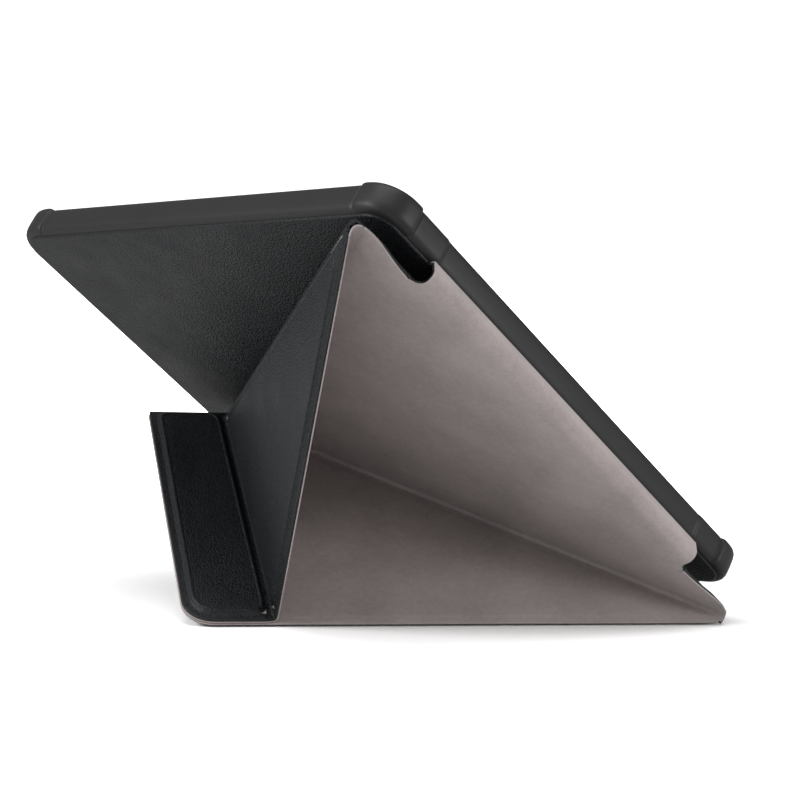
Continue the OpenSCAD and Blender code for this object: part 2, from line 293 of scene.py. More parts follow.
def soften(poly, r):
    """A convex outline with its sharp corners rounded by up to r."""
    out, n = [], len(poly)
    for i in range(n):
        a, b, c = (np.array(poly[(i + k) % n], float) for k in (-1, 0, 1))
        if np.linalg.norm(a - b) < 1e-6 or np.linalg.norm(c - b) < 1e-6:
            continue
        u, v = unit(a - b), unit(c - b)
        turn = math.pi - math.acos(max(-1, min(1, float(np.dot(u, v)))))
        if turn < math.radians(20):
            out.append(tuple(b))
            continue
        cut = min(r * math.tan(turn / 2), 0.45 * np.linalg.norm(a - b), 0.45 * np.linalg.norm(c - b))
        for k in range(7):
            t = k / 6
            out.append(tuple((1 - t) ** 2 * (b + u * cut) + 2 * t * (1 - t) * b + t * t * (b + v * cut)))
    return out


def skin(body, rings, back, grid=7.0, lift=None):
    """A closed sheet whose face steps through nested outlines, each with its height, over a flat back."""
    verts, edges, heights, total = [], [], [], 0
    for poly, z in rings:
        n = len(poly)
        verts += [Vector(p) for p in poly]
        edges += [(total + i, total + (i + 1) % n) for i in range(n)]
        heights += [z] * n
        total += n
    inner, z_in = rings[-1]
    xs, ys = [p[0] for p in inner], [p[1] for p in inner]
    cx, cy = sum(xs) / len(xs), sum(ys) / len(ys)
    inset = [np.array(p) + 2.0 * unit(np.array((cx, cy)) - np.array(p)) for p in inner]
    for gx in np.arange(min(xs), max(xs), grid):
        for gy in np.arange(min(ys), max(ys), grid):
            ok = all(
                (b[0] - a[0]) * (gy - a[1]) - (b[1] - a[1]) * (gx - a[0]) > 1e-9
                for a, b in zip(inset, inset[1:] + inset[:1]) if abs(b[0] - a[0]) + abs(b[1] - a[1]) > 1e-6
            )
            if ok:
                verts.append(Vector((gx, gy)))
                heights.append(z_in + (lift(gx, gy) if lift else 0.0))
    got, _, faces, origin, _, _ = delaunay_2d_cdt(verts, edges, [], 1, 1e-5)
    bm = bmesh.new()
    m = PLACE[body]

    def put(x, y, z):
        return bm.verts.new(metres((m @ np.array([x, y, z, 1.0]))[:3]))

    top = [put(v[0], v[1], heights[o[0]] if o else z_in) for v, o in zip(got, origin)]
    for f in faces:
        bm.faces.new([top[i] for i in f])
    where = {i: k for k, o in enumerate(origin) for i in o}
    outer = rings[0][0]
    rim = [top[where[i]] for i in range(len(outer))]
    low = [put(p[0], p[1], back) for p in outer]
    for i in range(len(outer)):
        j = (i + 1) % len(outer)
        if rim[i] is not rim[j]:
            bm.faces.new([rim[i], rim[j], low[j], low[i]])
    bm.faces.new(low)
    return bm


def cut_away(obj, cutters):
    """Takes the cutters' shapes out of an object, and leaves a plain mesh."""
    for c in cutters:
        mod = obj.modifiers.new("cut", "BOOLEAN")
        mod.operation, mod.solver, mod.object = "DIFFERENCE", "EXACT", c
        bpy.context.view_layer.update()
        mesh = bpy.data.meshes.new_from_object(obj.evaluated_get(bpy.context.evaluated_depsgraph_get()))
        obj.modifiers.remove(mod)
        old, obj.data = obj.data, mesh
        bpy.data.meshes.remove(old)
    for c in cutters:
        mesh = c.data
        bpy.data.objects.remove(c)
        bpy.data.meshes.remove(mesh)
    obj.data.set_sharp_from_angle(angle=math.radians(38))


def prism(body, poly, z0, z1):
    """A plain upright prism, used as a cutter."""
    bm = bmesh.new()
    rows = [[bm.verts.new(metres(at(body, (x, y, z)))) for x, y in poly] for z in (z0, z1)]
    for i in range(len(poly)):
        j = (i + 1) % len(poly)
        bm.faces.new([rows[0][i], rows[0][j], rows[1][j], rows[1][i]])
    bm.faces.new(rows[0])
    bm.faces.new(rows[1])
    bmesh.ops.recalc_face_normals(bm, faces=bm.faces)
    mesh = bpy.data.meshes.new("cutter")
    bm.to_mesh(mesh)
    bm.free()
    obj = bpy.data.objects.new("cutter", mesh)
    bpy.context.scene.collection.objects.link(obj)
    return obj


def ribbon(stations, offsets, spans, tuck=None):
    """A closed sheet along stations (point, normal), between two offsets and two span ends at each.

    Tuck adds to the lower offset, station by station.
    """
    bm = bmesh.new()
    across = 28
    rows = []
    for i, ((p, n), (a, b)) in enumerate(zip(stations, spans)):
        row = []
        low, high = offsets
        if tuck:
            low += tuck[i]
        for off in (low, high):
            start = p + n * off + a
            row.append([bm.verts.new(metres(start + (b - a) * k / across)) for k in range(across + 1)])
        rows.append(row)
    for r0, r1 in zip(rows, rows[1:]):
        for side in (0, 1):
            for k in range(across):
                bm.faces.new([r0[side][k], r0[side][k + 1], r1[side][k + 1], r1[side][k]])
        for k in (0, across):
            bm.faces.new([r0[0][k], r0[1][k], r1[1][k], r1[0][k]])
    for row in (rows[0], rows[-1]):
        for k in range(across):
            bm.faces.new([row[0][k], row[0][k + 1], row[1][k + 1], row[1][k]])
    return bm


# ---- Materials ----


def new_material(name):
    """A material with its shader, and its object coordinates."""
    mat = bpy.data.materials.new(name)
    mat.use_nodes = True
    tree = mat.node_tree
    shader = tree.nodes["Principled BSDF"]
    place = tree.nodes.new("ShaderNodeTexCoord")
    return mat, tree, shader, place.outputs["Object"]


def noise(tree, vector, scale, detail=3.0, rough=0.55):
    """A noise texture, with its size in cycles a metre."""
    node = tree.nodes.new("ShaderNodeTexNoise")
    node.inputs["Scale"].default_value = scale
    node.inputs["Detail"].default_value = detail
    node.inputs["Roughness"].default_value = rough
    tree.links.new(vector, node.inputs["Vector"])
    return node


def ramp(tree, value, low, high, out_low, out_high):
    """Maps a range of values to another."""
    node = tree.nodes.new("ShaderNodeMapRange")
    for k, v in zip(("From Min", "From Max", "To Min", "To Max"), (low, high, out_low, out_high)):
        node.inputs[k].default_value = v
    tree.links.new(value, node.inputs["Value"])
    return node.outputs["Result"]


def tint(tree, factor, dark, light):
    """Mixes two colours by a factor."""
    node = tree.nodes.new("ShaderNodeMix")
    node.data_type = "RGBA"
    tree.links.new(factor, node.inputs["Factor"])
    node.inputs["A"].default_value = (*dark, 1)
    node.inputs["B"].default_value = (*light, 1)
    return node.outputs["Result"]


def bump(tree, height, strength, distance, below=None):
    """A bump from a height."""
    node = tree.nodes.new("ShaderNodeBump")
    node.inputs["Strength"].default_value = strength
    node.inputs["Distance"].default_value = distance
    tree.links.new(height, node.inputs["Height"])
    if below is not None:
        tree.links.new(below, node.inputs["Normal"])
    return node.outputs["Normal"]


def leather_material(colour):
    """Fine pebbled leather with softly worn tops."""
    mat, tree, shader, place = new_material("fine_grain_leather")
    warp = noise(tree, place, 900, 2)
    add = tree.nodes.new("ShaderNodeVectorMath")
    add.operation = "MULTIPLY_ADD"
    tree.links.new(warp.outputs["Color"], add.inputs[0])
    add.inputs[1].default_value = (0.0005, 0.0005, 0.0005)
    tree.links.new(place, add.inputs[2])
    pebble = tree.nodes.new("ShaderNodeTexVoronoi")
    pebble.feature = "SMOOTH_F1"
    pebble.inputs["Scale"].default_value = 1300
    pebble.inputs["Smoothness"].default_value = 0.35
    tree.links.new(add.outputs["Vector"], pebble.inputs["Vector"])
    tops = ramp(tree, pebble.outputs["Distance"], 0.15, 0.75, 1.0, 0.0)
    patches = noise(tree, place, 55, 4)
    fine = noise(tree, place, 4200, 2)
    grain = bump(tree, tops, 0.8, 0.0002)
    normal = bump(tree, fine.outputs["Fac"], 0.25, 0.00006, grain)
    normal = bump(tree, patches.outputs["Fac"], 0.05, 0.0006, normal)
    tree.links.new(normal, shader.inputs["Normal"])
    base = tint(tree, tops, [c * 0.5 for c in colour], [c * 1.5 for c in colour])
    tree.links.new(base, shader.inputs["Base Color"])
    tree.links.new(ramp(tree, patches.outputs["Fac"], 0.3, 0.7, 0.42, 0.54), shader.inputs["Roughness"])
    shader.inputs["Specular IOR Level"].default_value = 0.3
    return mat


def lining_material(colour, name="microfibre_lining"):
    """Short-napped microfibre, brushed into soft lighter and darker patches."""
    mat, tree, shader, place = new_material(name)
    fibre = noise(tree, place, 1700, 3, 0.75)
    nap = noise(tree, place, 420, 4, 0.65)
    stroke = noise(tree, place, 28, 3)
    mix = tree.nodes.new("ShaderNodeMath")
    mix.operation = "MULTIPLY_ADD"
    tree.links.new(nap.outputs["Fac"], mix.inputs[0])
    mix.inputs[1].default_value = 0.55
    tree.links.new(ramp(tree, stroke.outputs["Fac"], 0.3, 0.7, 0.0, 0.45), mix.inputs[2])
    fac = tree.nodes.new("ShaderNodeMath")
    fac.operation = "MULTIPLY_ADD"
    tree.links.new(fibre.outputs["Fac"], fac.inputs[0])
    fac.inputs[1].default_value = 0.85
    tree.links.new(mix.outputs[0], fac.inputs[2])
    spread = ramp(tree, fac.outputs[0], 0.5, 1.25, 0.0, 1.0)
    tree.links.new(tint(tree, spread, [c * 0.74 for c in colour], [min(1, c * 1.2) for c in colour]),
                   shader.inputs["Base Color"])
    normal = bump(tree, fibre.outputs["Fac"], 0.35, 0.00012)
    normal = bump(tree, nap.outputs["Fac"], 0.25, 0.0002, normal)
    tree.links.new(normal, shader.inputs["Normal"])
    shader.inputs["Roughness"].default_value = 0.95
    shader.inputs["Specular IOR Level"].default_value = 0.15
    shader.inputs["Sheen Weight"].default_value = 0.22
    shader.inputs["Sheen Roughness"].default_value = 0.5
    return mat


def tray_material(colour):
    """Satin moulded elastomer with a fine spark-eroded grain."""
    mat, tree, shader, place = new_material("satin_elastomer")
    grain = noise(tree, place, 2400, 2)
    broad = noise(tree, place, 35, 3)
    normal = bump(tree, grain.outputs["Fac"], 0.22, 0.00007)
    tree.links.new(normal, shader.inputs["Normal"])
    tree.links.new(ramp(tree, broad.outputs["Fac"], 0.3, 0.7, 0.42, 0.52), shader.inputs["Roughness"])
    tree.links.new(tint(tree, grain.outputs["Fac"], [c * 0.9 for c in colour], [c * 1.1 for c in colour]),
                   shader.inputs["Base Color"])
    shader.inputs["Specular IOR Level"].default_value = 0.26
    return mat


def board_material():
    """Grey pressed board with flecks."""
    mat, tree, shader, place = new_material("pressed_board")
    fleck = noise(tree, place, 900, 4)
    tree.links.new(tint(tree, fleck.outputs["Fac"], (0.19, 0.17, 0.15), (0.31, 0.29, 0.26)),
                   shader.inputs["Base Color"])
    tree.links.new(bump(tree, fleck.outputs["Fac"], 0.3, 0.0001), shader.inputs["Normal"])
    shader.inputs["Roughness"].default_value = 0.9
    return mat


def magnet_material():
    """Plated magnet with faint brushing."""
    mat, tree, shader, place = new_material("plated_magnet")
    streak = noise(tree, place, 1500, 2)
    tree.links.new(ramp(tree, streak.outputs["Fac"], 0.3, 0.7, 0.25, 0.4), shader.inputs["Roughness"])
    tree.links.new(tint(tree, streak.outputs["Fac"], (0.55, 0.55, 0.57), (0.66, 0.66, 0.68)),
                   shader.inputs["Base Color"])
    shader.inputs["Metallic"].default_value = 1.0
    return mat


def floor_material():
    """Pale matt floor, seen brighter than it lights the case, and more so far away."""
    mat, tree, shader, place = new_material("pale_floor")
    soft = noise(tree, place, 3, 2)
    seen = tree.nodes.new("ShaderNodeLightPath")
    pick = tree.nodes.new("ShaderNodeMix")
    pick.data_type = "RGBA"
    tree.links.new(seen.outputs["Is Camera Ray"], pick.inputs["Factor"])
    tree.links.new(tint(tree, soft.outputs["Fac"], (0.62, 0.62, 0.62), (0.66, 0.66, 0.66)), pick.inputs["A"])
    away = tree.nodes.new("ShaderNodeVectorMath")
    away.operation = "LENGTH"
    tree.links.new(place, away.inputs[0])
    reach = ramp(tree, away.outputs["Value"], 0.25, 1.1, 0.0, 1.0)
    tree.links.new(tint(tree, reach, (1.35, 1.35, 1.35), (7.0, 7.0, 7.0)), pick.inputs["B"])
    tree.links.new(pick.outputs["Result"], shader.inputs["Base Color"])
    shader.inputs["Roughness"].default_value = 0.8
    shader.inputs["Specular IOR Level"].default_value = 0.1
    return mat


def material(name):
    """One of the case's materials, made when it is first asked for."""
    have = bpy.data.materials.get(name)
    if have:
        return have
    finish = bpy.context.scene.case_finish
    return {
        "fine_grain_leather": lambda: leather_material(tuple(finish.leather)),
        "microfibre_lining": lambda: lining_material(tuple(finish.lining)),
        "satin_elastomer": lambda: tray_material(tuple(finish.tray)),
        "pressed_board": board_material,
        "plated_magnet": magnet_material,
        "pale_floor": floor_material,
    }[name]()


# ---- Panels ----

# Each panel's folds, as (from, to) with the panel on the left, and the half width of the bend
FOLDS = {
    "rear": [(P_K, P_N, FOLD_BAND), (P_N, P_T, FOLD_BAND)],
    "base": [(P_L, P_N, TOP_BAND), (P_N, P_K, FOLD_BAND)],
    "flap": [(P_E, P_N, FLAP_BAND), (P_N, P_L, TOP_BAND)],
    "prop": [(P_T, P_N, FOLD_BAND), (P_N, P_E, FLAP_BAND)],
}


def panel_outline(body, hem, fold, spine=None, extra=0.0):
    """A panel's outline, moved in by hem at its hems and by fold beyond each bend."""
    low = hem if spine is None else spine
    poly = round_corners(hem, low, COVER_H - hem, COVER_W - hem, max(1.5, COVER_R - 0.7 * hem))
    for p, q, band in FOLDS[body]:
        more = extra if {p, q} == {P_T, P_N} else 0.0
        poly = clip(poly, p, q, band + more + fold)
    clean = [poly[0]]
    for p in poly[1:]:
        if math.dist(p, clean[-1]) > 1e-4:
            clean.append(p)
    if math.dist(clean[0], clean[-1]) < 1e-4:
        clean.pop()
    return clean


def swell(scale, seed):
    """A slow lift and fall over a panel, in millimetres."""

    def height(x, y):
        return scale * (
            0.5 * math.sin(x / 23 + seed) * math.cos(y / 29 - seed)
            + 0.3 * math.sin((x + y) / 17 + 2 * seed) + 0.2 * math.cos((x - 1.7 * y) / 11)
        )

    return height


def strip_cutters(body, reach):
    """The notches at the strip's ends, and the place that the strip itself fills."""
    out = []
    x0, x1 = SPINE_S - NOTCH_R - 0.5, SPINE_E + NOTCH_R + 0.5
    out.append(prism(body, [(x0, -3), (x1, -3), (x1, reach), (x0, reach)], -3, 8))
    for x in (SPINE_S - NOTCH_R - 0.5, SPINE_E + NOTCH_R + 0.5):
        away = -1 if x < HALF else 1
        run = [(x + away * (1.0 + 26 * t), 3.75 * (1 - ease(t))) for t in np.linspace(0, 1, 25)]
        run += [(x + away * 27.0, -3.0), (x + away * 1.0, -3.0)]
        out.append(prism(body, run if away > 0 else run[::-1], -3, 8))
        ring = [(x + NOTCH_R * math.cos(t), NOTCH_R * math.sin(t) - 0.001)
                for t in np.linspace(0, 2 * math.pi, 49)[:-1]]
        out.append(prism(body, ring, -3, 8))
    return out


def panel_leather(body, settings, seed):
    """A panel's leather: a flat hem, a pressed rise over the board, and a softly swollen face."""
    hem = settings.hem_width * MM
    r = settings.ridge_round * MM
    is_rear = body == "rear"
    edge0 = 0.9 if is_rear else 0.1
    steps = [(0.0, 0.0, Z_LEA + 0.25), (0.08, 0.02, 1.25), (0.3, 0.05, 1.46), (0.6, 0.08, Z_FLAT),
             (hem - 0.3, 0.1, Z_FLAT), (hem, 0.16, 1.58), (hem + 0.35 * r, 0.35, 2.05),
             (hem + 0.75 * r, 0.8, 2.55), (hem + 1.3 * r, 1.35, 2.8), (hem + 2.4 * r, 2.4, 2.86),
             (hem + 6, 6.5, 2.8)]
    rings = [(soften(panel_outline(body, 0.1 + d, f, spine=edge0 + d), 0.5 + d), z) for d, f, z in steps]
    bm = skin(body, rings, Z_LEA, lift=swell(settings.leather_swell * MM, seed))
    obj = finish_mesh(f"{body}_panel_leather_skin", bm, material("fine_grain_leather"))
    if is_rear:
        cut_away(obj, strip_cutters(body, 4.2))
    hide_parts(f"{body}_panel_leather")
    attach(obj, body)
    return obj


def panel_lining(body, seed):
    """A panel's lining, with the board's edge showing faintly through it."""
    steps = [(-0.12, 0.0, 0.42), (-0.04, 0.0, 0.26), (0.2, 0.02, Z_LIN), (2.0, 0.06, Z_LIN),
             (3.0, 0.3, 0.24), (3.7, 0.8, 0.08), (4.6, 1.5, 0.02), (8, 5, 0.06)]
    is_rear = body == "rear"
    edge0 = 0.4 if is_rear else -0.18
    rings = [(soften(panel_outline(body, d, f, spine=edge0 + d + 0.18, extra=APEX_EXTRA), 0.5 + max(0, d)), z)
             for d, f, z in steps]
    bm = skin(body, rings, Z_LEA, lift=swell(0.09, seed))
    obj = finish_mesh(f"{body}_panel_lining_sheet", bm, material("microfibre_lining"), 50)
    if is_rear:
        cut_away(obj, strip_cutters(body, SPINE_BAND))
    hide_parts(f"{body}_panel_lining")
    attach(obj, body)
    return obj


# ---- Bends ----


def arc_path(start, corner, end, n_start, n_end, radius, steps=14):
    """Stations (point, normal) from start to end past a corner rounded by radius."""
    u, v = unit(start - corner), unit(end - corner)
    turn = math.pi - math.acos(max(-1, min(1, float(np.dot(u, v)))))
    cut = min(radius * math.tan(turn / 2), 0.9 * np.linalg.norm(start - corner),
              0.9 * np.linalg.norm(end - corner))
    first, last = corner + u * cut, corner + v * cut
    inward = unit(u + v)
    centre = corner + inward * (cut / max(1e-6, float(np.dot(u, inward))))
    axis = unit(np.cross(first - centre, last - centre))

    def spin(w, a):
        return w * math.cos(a) + np.cross(axis, w) * math.sin(a) + axis * np.dot(axis, w) * (1 - math.cos(a))

    out = [(start, n_start), (first, n_start)]
    for k in range(1, steps):
        a = turn * k / steps
        out.append((centre + spin(first - centre, a), spin(np.array(n_start, float), a)))
    out += [(last, n_end), (end, n_end)]
    return out


def fold_strip(name, a, b, p, q, band, layers, radius, trims, mat, replaces=(), fill=0.0):
    """A sheet bent over the fold from p to q between two bodies.

    Its ends are trimmed, and an end at a cover corner follows the corner's round. Fill thickens its middle.
    """
    corner = at(a, (*p, 0))
    far = at(a, (*q, 0))
    along = unit(far - corner)
    length = float(np.linalg.norm(far - corner))
    t = unit(np.subtract(q, p))
    side_a = np.array([-t[1], t[0], 0.0])
    dir_a = unit(PLACE[a][:3, :3] @ side_a)
    dir_b = unit(PLACE[b][:3, :3] @ -side_a)
    n_a, n_b = PLACE[a][:3, 2], PLACE[b][:3, 2]
    stations = arc_path(corner + dir_a * band, corner, corner + dir_b * band, n_a, n_b, radius)
    count = len(stations) - 1
    spans, tuck = [], []
    for i in range(count + 1):
        share = 2 * i / count - 1
        side = band if i in (0, count) else abs(share) * band * 0.6
        rise = COVER_R - math.sqrt(COVER_R ** 2 - side ** 2)
        first, last = (trim + rise if trim == CORNER_TRIM else trim for trim in trims)
        spans.append((along * first, along * (length - last)))
        tuck.append(-fill * (1 - share ** 2) ** 2)
    bm = ribbon(stations, layers, spans, tuck)
    obj = finish_mesh(name, bm, mat, 60)
    if replaces:
        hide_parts(*replaces)
    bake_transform(obj)
    return obj


def strip_stations():
    """The spine strip's corners as (y, z) in the tray's own frame, from the tray to the rear panel."""
    h1 = np.array([HINGE_Y, HINGE_Z])
    b = math.radians(SPINE_BOW / 2)
    h2 = h1 + SPINE_W / 2 * np.array([-math.sin(b), -math.cos(b)])
    h3 = h2 + SPINE_W / 2 * np.array([math.sin(b), -math.cos(b)])
    inv = np.linalg.inv(PLACE["tray"]) @ PLACE["rear"]
    along = unit((inv[:3, :3] @ np.array([0, 1.0, 0]))[1:])
    h0 = h1 + np.array([2.6, 0.0])
    h4 = h3 + along * SPINE_BAND
    return [h0, h1, h2, h3, h4]


def spine_piece(name, corners, radius, spans, layers, mat, node):
    """One bend of the spine strip, between two bodies: an arc, or one long sweep where radius is None."""
    tray = PLACE["tray"]
    first, middle, last = (np.array([0.0, c[0], c[1]]) for c in corners)

    def normal(d):
        d = unit(d)
        return np.array([0.0, -d[2], d[1]])

    if radius is None:
        flat = []
        for t in np.linspace(0, 1, 25):
            p = (1 - t) ** 2 * first + 2 * t * (1 - t) * middle + t * t * last
            flat.append((p, normal((1 - t) * (middle - first) + t * (last - middle))))
    else:
        flat = arc_path(first, middle, last, normal(middle - first), normal(last - middle), radius)
    stations, ends = [], []
    x_dir = tray[:3, 0]
    for p, n in flat:
        where = (tray @ np.array([0, p[1], p[2], 1.0]))[:3]
        stations.append((where, tray[:3, :3] @ n))
        s, e = spans(p)
        ends.append((x_dir * s, x_dir * e))
    tuck = None
    if name == "spine_lining_at_cover":
        runs = [float(np.dot(p - middle, unit(last - middle))) for p, _ in flat]
        tuck = [0.5 * ease((y - SPINE_BAND) / LAP) - 0.24 * ease(y / SPINE_BAND) for y in runs]
    obj = finish_mesh(name, ribbon(stations, layers, ends, tuck), mat, 60)
    if node:
        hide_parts(node)

    def to(c):
        return metres((tray @ np.array([TRAY_L / 2, c[0], c[1], 1.0]))[:3])

    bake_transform(obj)
    return obj


# ---- Operators ----


class CASE_OT_tray(bpy.types.Operator):
    """Builds the soft moulded tray with its corner bumpers, lip and notch."""

    bl_idname = "case.tray"
    bl_label = "Tray"

    def execute(self, context):
        s = context.scene.case_tray
        build_tray(s.bumper * MM, s.bumper_length * MM, s.seam * MM, s.set_back * MM)
        return {"FINISHED"}


class CASE_OT_back(bpy.types.Operator):
    """Builds the leather panel on the back of the tray."""

    bl_idname = "case.back"
    bl_label = "Back leather"

    def execute(self, context):
        build_back()
        return {"FINISHED"}


class CASE_OT_spine(bpy.types.Operator):
    """Builds the soft spine strip that joins the cover to the tray."""

    bl_idname = "case.spine"
    bl_label = "Spine strip"

    def execute(self, context):
        build_spine()
        return {"FINISHED"}


class CASE_OT_panels(bpy.types.Operator):
    """Builds the leather and the lining of the cover's four panels."""

    bl_idname = "case.panels"
    bl_label = "Cover panels"

    def execute(self, context):
        for i, body in enumerate(FOLDS):
            panel_leather(body, context.scene.case_cover, 1.3 * i)
            panel_lining(body, 0.7 + 1.9 * i)
        return {"FINISHED"}


class CASE_OT_folds(bpy.types.Operator):
    """Builds the bent leather and lining along the cover's folds."""

    bl_idname = "case.folds"
    bl_label = "Folds"

    def execute(self, context):
        build_folds(context.scene.case_cover.crease_round * MM)
        return {"FINISHED"}


class CASE_OT_beads(bpy.types.Operator):
    """Builds the bead pressed into the leather round each panel."""

    bl_idname = "case.beads"
    bl_label = "Pressed beads"

    def execute(self, context):
        build_beads(context.scene.case_cover)
        return {"FINISHED"}


class CASE_OT_insides(bpy.types.Operator):
    """Gives the hidden boards and magnets their finishes."""

    bl_idname = "case.insides"
    bl_label = "Boards and magnets"

    def execute(self, context):
        for name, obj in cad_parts.items():
            kind = "plated_magnet" if "magnet" in name else "pressed_board" if "board" in name else None
            if kind:
                obj.data.materials.clear()
                obj.data.materials.append(material(kind))
        return {"FINISHED"}


class CASE_OT_stage(bpy.types.Operator):
    """Builds the floor, the light and the camera."""

    bl_idname = "case.stage"
    bl_label = "Stage"

    def execute(self, context):
        build_stage(context.scene.case_stage)
        return {"FINISHED"}


# ---- Builders ----


def ease(t):
    """A smooth step from 0 to 1."""
    t = max(0.0, min(1.0, t))
    return t * t * (3 - 2 * t)


def build_tray(bumper, run, seam, set_back):
    """Sweeps the wall's section round the tray, with bumpers, seams, set-back and notch."""
    r = TRAY_R
    path = []
    near = [0, 0.4, 0.7, 0.9, 1.1, 1.3, 1.6, 2.0, 2.6, 3.4]

    def side(length, x_of, low):
        marks = {r, length - r}
        for c in (run, length - run):
            marks |= {c + d for n in near for d in (-n, n)}
        if low:
            for c in (SET_BACK_FROM, length - SET_BACK_FROM):
                marks |= {c + d for n in (0, 0.5, 1, 1.6, 2.4) for d in (-n, n)}
        else:
            for c in (PORT_MID - PORT_HALF, PORT_MID + PORT_HALF):
                marks |= {c + d for n in (0, 0.4, 0.8, 1.4, 2) for d in (-n, n)}
        marks |= set(np.arange(r, length - r, 7.0))
        return [x_of(m) for m in sorted(m for m in marks if r <= m <= length - r)]

    def corner(cx, cy, a0):
        for k in range(1, 14):
            a = math.radians(a0 + 90 * k / 14)
            nx, ny = math.cos(a), math.sin(a)
            path.append((cx + r * nx, cy + r * ny, nx, ny, "corner", 0.0, 0.0))

    for m in side(TRAY_L, lambda m: m, True):
        path.append((m, 0.0, 0.0, -1.0, "low", m, TRAY_L))
    corner(TRAY_L - r, r, 270)
    for m in side(TRAY_W, lambda m: m, False):
        path.append((TRAY_L, m, 1.0, 0.0, "end", m, TRAY_W))
    corner(TRAY_L - r, TRAY_W - r, 0)
    for m in sorted(side(TRAY_L, lambda m: m, False), reverse=True):
        path.append((m, TRAY_W, 0.0, 1.0, "high", m, TRAY_L))
    corner(r, TRAY_W - r, 90)
    for m in sorted(side(TRAY_W, lambda m: m, False), reverse=True):
        path.append((0.0, m, -1.0, 0.0, "end", m, TRAY_W))
    corner(r, r, 180)

    # (inset, height, share of the bumper, share of the raised rim)
    section = [(9.0, 0.0, 0, 0), (3.4, 0.0, 0, 0), (2.5, 0.03, 0.3, 0), (1.75, 0.22, 0.6, 0),
               (1.05, 0.68, 0.85, 0), (0.5, 1.4, 1, 0), (0.16, 2.35, 1, 0), (0.0, 3.6, 1, 0),
               (-0.06, 5.6, 1, 0), (-0.03, 7.8, 1, 0.2),
               (0.03, 9.2, 1, 0.6), (0.22, 10.1, 1, 0.9), (0.6, 10.8, 0.9, 1), (1.15, 11.12, 0.6, 1),
               (1.9, 11.2, 0.3, 1), (2.9, 11.15, 0, 0.8), (3.5, 10.9, 0, 0.5), (3.78, 10.45, 0, 0.2),
               (3.7, 9.9, 0, 0), (3.3, 9.4, 0, 0), (2.6, 9.05, 0, 0), (2.2, 8.9, 0, 0), (2.2, 2.9, 0, 0),
               (2.4, 2.4, 0, 0), (3.0, 2.2, 0, 0), (9.0, 2.2, 0, 0)]
    notch_floor = 3.4
    bm = bmesh.new()
    m4 = PLACE["tray"]
    rows = []
    for x, y, nx, ny, kind, m, length in path:
        if kind == "corner":
            out, raised, groove, notch = bumper, 1.0, 0.0, 0.0
        else:
            from_end = min(m, length - m)
            d = from_end - run
            raised = 1 - ease((d + 0.2) / 1.6)
            out = bumper * raised
            groove = seam * (math.exp(-((d - 0.9) / 0.55) ** 2) - 0.3 * math.exp(-((d + 1.6) / 1.2) ** 2))
            notch = 0.0
            if kind == "low":
                out -= set_back * ease((from_end - SET_BACK_FROM + 0.8) / 1.6)
            if kind == "high":
                notch = ease((PORT_HALF + 0.7 - abs(m - PORT_MID)) / 1.4)
        row = []
        for inset, z, share, rim in section:
            off = (out - groove) * share - inset
            height = z + 0.4 * raised * rim
            if notch and height > notch_floor:
                height += (notch_floor + (height - notch_floor) * 0.03 - height) * notch
            p = (m4 @ np.array([x + nx * off, y + ny * off, height, 1.0]))[:3]
            row.append(bm.verts.new(metres(p)))
        rows.append(row)
    n = len(rows)
    for i in range(n):
        a, b = rows[i], rows[(i + 1) % n]
        for k in range(len(section) - 1):
            bm.faces.new([a[k], a[k + 1], b[k + 1], b[k]])
    bm.faces.new([r_[0] for r_ in rows])
    bm.faces.new([r_[-1] for r_ in reversed(rows)])
    obj = finish_mesh("moulded_tray", bm, material("satin_elastomer"), 50)
    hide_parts("tray_shell")
    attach(obj, "tray")


def build_back():
    """Lays the back leather on the tray, with a rounded cut edge, and a band of the lighter tray elastomer
    over that edge as a painted highlight line.
    """
    margin = 2.5

    def ring(d):
        low = margin + d
        return round_corners(low, low, TRAY_L - low, TRAY_W - low, TRAY_R - margin - 0.5 * d)

    steps = [(0.0, -0.25), (0.06, -0.5), (0.22, -0.7), (0.5, -0.79), (1.2, -0.8), (6, -0.82), (11, -0.8)]
    rings = [(ring(d), z) for d, z in steps]
    bm = skin("tray", rings, 0.0, grid=9.0, lift=swell(0.12, 2.2))
    obj = finish_mesh("back_leather_sheet", bm, material("fine_grain_leather"))
    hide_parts("back_leather")
    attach(obj, "tray")
    # A band of the lighter tray elastomer laid over the leather's cut edge: a painted highlight line, not a
    # part of the case.
    edge = [(ring(-0.12), -0.06), (ring(-0.1), -0.2), (ring(0.12), -0.3), (ring(0.4), -0.3)]
    bm = skin("tray", edge, 0.02, grid=400.0)
    obj = finish_mesh("back_leather_edge_painted_highlight", bm, material("satin_elastomer"))
    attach(obj, "tray")


def build_spine():
    """Joins tray and cover with three soft bends, leather inside and lining out."""
    h0, h1, h2, h3, h4 = strip_stations()
    m1, m2 = (h1 + h2) / 2, (h2 + h3) / 2
    tray_to_flat = HALF - TRAY_L / 2
    s0, s1 = SPINE_S - 0.5 - tray_to_flat, SPINE_E + 0.5 - tray_to_flat

    def plain(p):
        return s0, s1

    def ends(p):
        y = float(np.dot(np.array([p[1], p[2]]) - h3, unit(h4 - h3)))
        if y <= 0:
            return s0, s1
        w = NOTCH_R - math.sqrt(max(0.0, NOTCH_R ** 2 - y * y))
        return s0 - w, s1 + w

    leather, lining = material("fine_grain_leather"), material("microfibre_lining")
    for kind, mat, slot, layers in (("leather", leather, "leather", (Z_LEA, Z_FLAT)),
                                    ("lining", lining, "lining", (Z_LIN, Z_LEA))):
        spine_piece(f"spine_{kind}_at_tray", (h0, h1, m1), 0.8, plain, layers, mat,
                    f"spine_back_{kind}")
        spine_piece(f"spine_{kind}_middle", (m1, h2, m2), 4.2, plain, layers, mat,
                    None)
        far = h3 + (SPINE_BAND + LAP) * unit(h4 - h3)
        spine_piece(f"spine_{kind}_at_cover", (m2, h3, far), None,
                    ends, layers, mat,
                    f"spine_front_{kind}")


